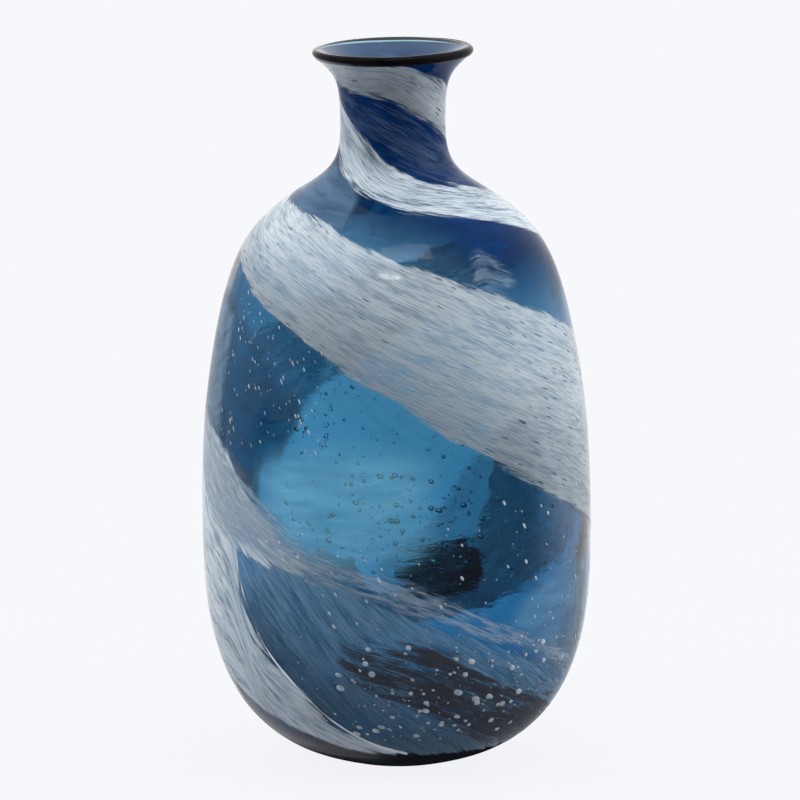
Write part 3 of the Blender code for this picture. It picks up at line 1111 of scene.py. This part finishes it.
SHOULDER_LEFT: Course = ((-100, 268, 260), (-70, 280, 250), (-40, 276, 246), (-20, 266, 252))
NECK_STREAKS: Course = ((-85, 312, 304), (-50, 312, 292), (0, 305, 280), (45, 295, 270), (100, 278, 264))
GATHER_MARK: Course = ((29, 238, 232), (35, 247, 226), (42, 243, 224), (50, 234, 228))
LEFT_SIDE: Course = ((-150, 150, 140), (-112, 205, 90), (-80, 222, 80), (-63, 214, 112))
CHARCOAL_PATCH: Course = (
    (-19, 67.5, 62), (-14, 71.5, 50), (0, 73.5, 37), (24, 62, 22), (40, 51, 15), (59, 39, 11.5),
    (80, 30, 10.5), (100, 24, 10.5), (118, 17, 12),
)
NAVY_SMEAR: Course = ((149, 72, 66), (154, 86, 54), (163, 86, 50), (173, 79, 52), (181, 70, 62))
SIDE_LINE: tuple[Point, ...] = ((-74, 210), (-68, 185), (-62.5, 155), (-60.5, 132))
VEIL_EDGE: tuple[Point, ...] = (
    (-56, 100), (-52, 88), (-46, 68), (-36, 49), (-22, 28.5), (-8, 17.5), (4, 13),
)


class FritWork:
    """Every coat of coloured frit on the vase, and the films of painted shade and painted light."""

    # Name, course, layer, finish, slot, the CAD nodes that it stands for, and what else differs.
    COATS: tuple[tuple, ...] = (
        ("neck_depth_and_shade", NECK_RING, Layer.FILM, NECK_DEPTH_AND_SHADE, Slot.NAVY, (), {"edges": Edge.BOTTOM}),
        ("heel_tint", HEEL_RING, Layer.FILM, HEEL_TINT, Slot.NAVY, (), {"edges": Edge.TOP}),
        ("back_shade", BACK_SHADE, Layer.HAZE, BLUE_SHADE, Slot.NAVY, (), {}),
        ("slate_shade", SLATE, Layer.FILM, SLATE_SHADE, Slot.NAVY, (), {}),
        ("front_painted_light", FILM_FRONT, Layer.GLOW, FRONT_PAINTED_LIGHT, Slot.WHITE, (), {}),
        ("right_painted_light", FILM_RIGHT, Layer.GLOW, RIGHT_PAINTED_LIGHT, Slot.WHITE, (), {}),
        ("shade_under_band", SHADE_UNDER_BAND_COURSE, Layer.FILM, SHADE_UNDER_BAND, Slot.NAVY, (), {"edges": Edge.BOTTOM | Edge.ENDS}),
        ("shoulder_haze", SHOULDER_LEFT, Layer.HAZE, SHOULDER_HAZE, Slot.WHITE, (), {}),
        ("side_haze", LEFT_SIDE, Layer.HAZE, SIDE_HAZE, Slot.WHITE, (), {}),
        ("lower_haze", LOWER_HAZE, Layer.HAZE, HAZE, Slot.WHITE, (), {"shear": 0.5}),
        ("long_swirl", LONG_SWIRL, Layer.BAND, WHITE_BAND, Slot.WHITE, ("long_white_swirl",), {}),
        ("short_swirl", SHORT_SWIRL, Layer.BAND, WHITE_VEIL, Slot.WHITE, ("short_white_swirl",), {}),
        ("veil_fold", VEIL_FOLD, Layer.FOLD, WHITE_VEIL, Slot.WHITE, (), {"shear": 0.2}),
        ("smoky_wisps", WISP, Layer.WISP, SMOKE, Slot.WHITE, ("white_wisp",), {"margin": 13.0}),
        ("charcoal_lobe", CHARCOAL_PATCH, Layer.PATCH, CHARCOAL, Slot.CHARCOAL, ("charcoal_patch",),
         {"margin": 12.0}),
        ("navy_lobe", NAVY_SMEAR, Layer.FILM, NAVY, Slot.NAVY, ("navy_smear",),
         {"margin": 8.0, "step": 0.6}),
        ("neck_streaks", NECK_STREAKS, Layer.HAZE, NECK_SMOKE, Slot.WHITE, (), {}),
        ("gather_mark", GATHER_MARK, Layer.HAZE, GATHER_SMOKE, Slot.WHITE, (), {}),
    )

    def __init__(self, shape: VaseShape) -> None:
        """Takes the form that the frit is laid on."""
        self.shape = shape

    def build(self) -> None:
        """Lays the coats, and then the two fine lines over them."""
        for name, course, layer, finish, slot, nodes, extra in self.COATS:
            FritCoat(self.shape, name, course, layer, **extra).build(finish, slot, *nodes)
        Thread(self.shape, "side_line", SIDE_LINE, 3.0).build(DARK_THREAD, Slot.NAVY)
        Thread(self.shape, "veil_thread", VEIL_EDGE, 1.9).build(BRIGHT_THREAD, Slot.WHITE)


class Seeds:
    """Every field of gas seeds."""

    # Name, region, depth, density, smallest, largest, stretch, flat, seed, and the slope where it differs.
    CLEAR: tuple[tuple, ...] = (
        ("seeds_front", (-62.0, 78.0, 84.0, 200.0), 2.4, 1.1, 0.3, 0.95, 1.5, 0.8, 11),
        ("seeds_middle", (-22.0, 30.0, 98.0, 152.0), 3.2, 5.5, 0.3, 1.25, 1.3, 0.9, 12),
        ("seeds_back", (96.0, 296.0, 40.0, 230.0), 2.6, 0.7, 0.3, 1.0, 1.4, 0.8, 13),
        ("seeds_neck", (-95.0, 95.0, 236.0, 312.0), 2.0, 1.2, 0.2, 0.5, 3.2, 0.7, 14),
    )
    PALE: tuple[tuple, ...] = (
        ("seeds_dark", (-20.0, 66.0, 18.0, 72.0), -0.2, 3.2, 0.32, 1.6, 1.25, 0.14, 15),
        ("seeds_lower", (-50.0, 92.0, 20.0, 135.0), -0.2, 0.8, 0.22, 0.75, 1.9, 0.14, 16, -1.6),
        ("seeds_slate", (-68.0, -22.0, 148.0, 226.0), -0.2, 2.4, 0.18, 0.46, 3.0, 0.2, 17, -1.9),
    )

    def __init__(self, shape: VaseShape) -> None:
        """Takes the form whose wall holds the seeds."""
        self.shape = shape

    def build(self) -> None:
        """Scatters the clear seeds in the wall and the pale ones over the frit."""
        kinds = ((self.CLEAR, GAS_SEED, Slot.CLEAR), (self.PALE, PALE_SEED, Slot.WHITE))
        for fields, finish, slot in kinds:
            for numbers in fields:
                SeedField(self.shape, *numbers).build(finish.material(), slot)


@dataclass
class Studio:
    """The floor, the light all round and the camera.

    Attributes:
        target: Point that the camera looks at, in metres.
        elevation: How far above level the camera stands, in degrees.
        distance: From the camera to the target, in metres.
        lens: Focal length, in millimetres on a 36 mm frame.
        floor_radius: Half the width of the floor, in metres.
        floor_glow: Colour that the floor gives off, which an even light all round would leave on it.
        floor_bounce: How much of the floor's glow reaches the vase from below.
        near_gloss: How bright the floor in front of the vase looks in its gloss.
        strength: Brightness of the light all round.
        overhead: How much brighter it is straight above.
        sides: How much brighter it is at the left and right.
        front_dim: Brightness of the part behind the camera, as a share of the rest.
        backdrop: Colour seen straight past the floor's far edge.
    """

    target: tuple[float, float, float] = (0.0015, 0.0, 0.1659)
    elevation: float = 10.5
    distance: float = 4.0
    lens: float = 392.7
    floor_radius: float = 30.0
    floor_glow: Colour = (0.868, 0.876, 0.911)
    floor_bounce: float = 0.5
    near_gloss: float = 0.1
    strength: float = 1.15
    overhead: float = 1.2
    sides: float = 1.6
    front_dim: float = 0.08
    backdrop: Colour = (0.922, 0.930, 0.965)

    # Where each part of the light begins and where it is full, by how far a direction points that way.
    ABOVE = (0.1, 0.9)
    BESIDE = (0.55, 0.95)
    IN_FRONT = (0.42, 0.62)
    FLOOR_FRONT = (0.35, -0.25)  # the same for the front of the floor, in metres towards the back
    LIT_POINT = (0.0, 0.0, 0.15)  # what the lamps face

    def _floor(self) -> None:
        """A plain pale floor."""
        r = self.floor_radius
        mesh = bpy.data.meshes.new("floor")
        mesh.from_pydata([(-r, -r, 0.0), (r, -r, 0.0), (r, r, 0.0), (-r, r, 0.0)], [], [(0, 1, 2, 3)])
        floor = new_object("floor", mesh)
        graph, shader = new_material("pale floor")
        path = graph.terms("ShaderNodeLightPath")
        place = graph.term("ShaderNodeTexCoord", "Object")
        back = graph.term("ShaderNodeSeparateXYZ", "Y", {"Vector": place})
        near = graph.ease(back, *self.FLOOR_FRONT) * (1.0 - self.near_gloss)
        lost = path["Is Diffuse Ray"] * (1.0 - self.floor_bounce) + path["Is Glossy Ray"] * near
        graph.put(shader, {
            "Base Color": (0.03, 0.03, 0.03, 1.0), "Emission Color": opaque(self.floor_glow),
            "Emission Strength": 1.0 - lost, "Roughness": 1.0, "Specular IOR Level": 0.0})
        mesh.materials.append(bpy.data.materials["pale floor"])

    def _surround(self) -> None:
        """Soft light from every side, dimmer from the front, where the camera stands."""
        world = bpy.data.worlds.new("light tent")
        bpy.context.scene.world = world
        world.use_nodes = True
        graph = Graph(world.node_tree)
        direction = graph.term("ShaderNodeTexCoord", "Generated")
        toward = graph.terms("ShaderNodeSeparateXYZ", {"Vector": direction})
        path = graph.terms("ShaderNodeLightPath")
        soft, seen = path["Is Diffuse Ray"], path["Is Camera Ray"]
        high = graph.ease(toward["Z"], *self.ABOVE) * (soft * self.overhead)
        wide = graph.ease(graph.math("ABSOLUTE", toward["X"]), *self.BESIDE) * (soft * self.sides)
        kept = 1.0 - graph.ease(toward["Y"] * -1.0, *self.IN_FRONT) * (1.0 - self.front_dim)
        level = (high + wide + 1.0) * kept * self.strength
        graph.put(world.node_tree.nodes["Background"], {
            "Strength": level * (1.0 - seen) + seen,
            "Color": graph.mixed(seen, opaque(Finish.WHITE), opaque(self.backdrop))})

    def _softbox(self, name: str, place: Sequence[float], size: tuple[float, float], power: float) -> None:
        """A large soft lamp that faces the vase."""
        light = bpy.data.lights.new(name, "AREA")
        light.shape = "RECTANGLE"
        light.size, light.size_y = size
        light.energy = power
        lamp = new_object(name, light)
        lamp.location = place
        lamp.rotation_euler = (Vector(self.LIT_POINT) - lamp.location).to_track_quat("-Z", "Y").to_euler()

    def _camera(self) -> None:
        """The camera at the height that the vase is looked at from."""
        data = bpy.data.cameras.new("camera")
        data.lens = self.lens
        data.sensor_width = 36.0
        data.clip_end = 200.0
        camera = new_object("camera", data)
        rise = math.radians(self.elevation)
        offset = Vector((0.0, -math.cos(rise), math.sin(rise))) * self.distance
        camera.location = Vector(self.target) + offset
        camera.rotation_euler = (-offset).to_track_quat("-Z", "Y").to_euler()
        bpy.context.scene.camera = camera

    def build(self) -> None:
        """Sets up everything round the vase."""
        self._floor()
        self._surround()
        self._softbox("top softbox", (0.25, -0.75, 1.9), (0.9, 0.45), 4.6)
        self._softbox("strip light", (-0.12, -1.36, 1.55), (0.5, 0.12), 2.0)
        self._camera()
        bpy.context.scene.view_settings.view_transform = "Standard"


def main() -> None:
    """Builds the vase piece by piece and sets up the studio."""
    logging.basicConfig(level=logging.INFO, format="%(message)s")
    shape = VaseShape()
    GlassBody(shape).build(CLEAR_BLUE)
    Foot(shape).build(HEEL_GLASS)
    LipBead(shape).build(LIP_DARK)
    FritWork(shape).build()
    Seeds(shape).build()
    Studio().build()


if __name__ == "__main__":
    main()
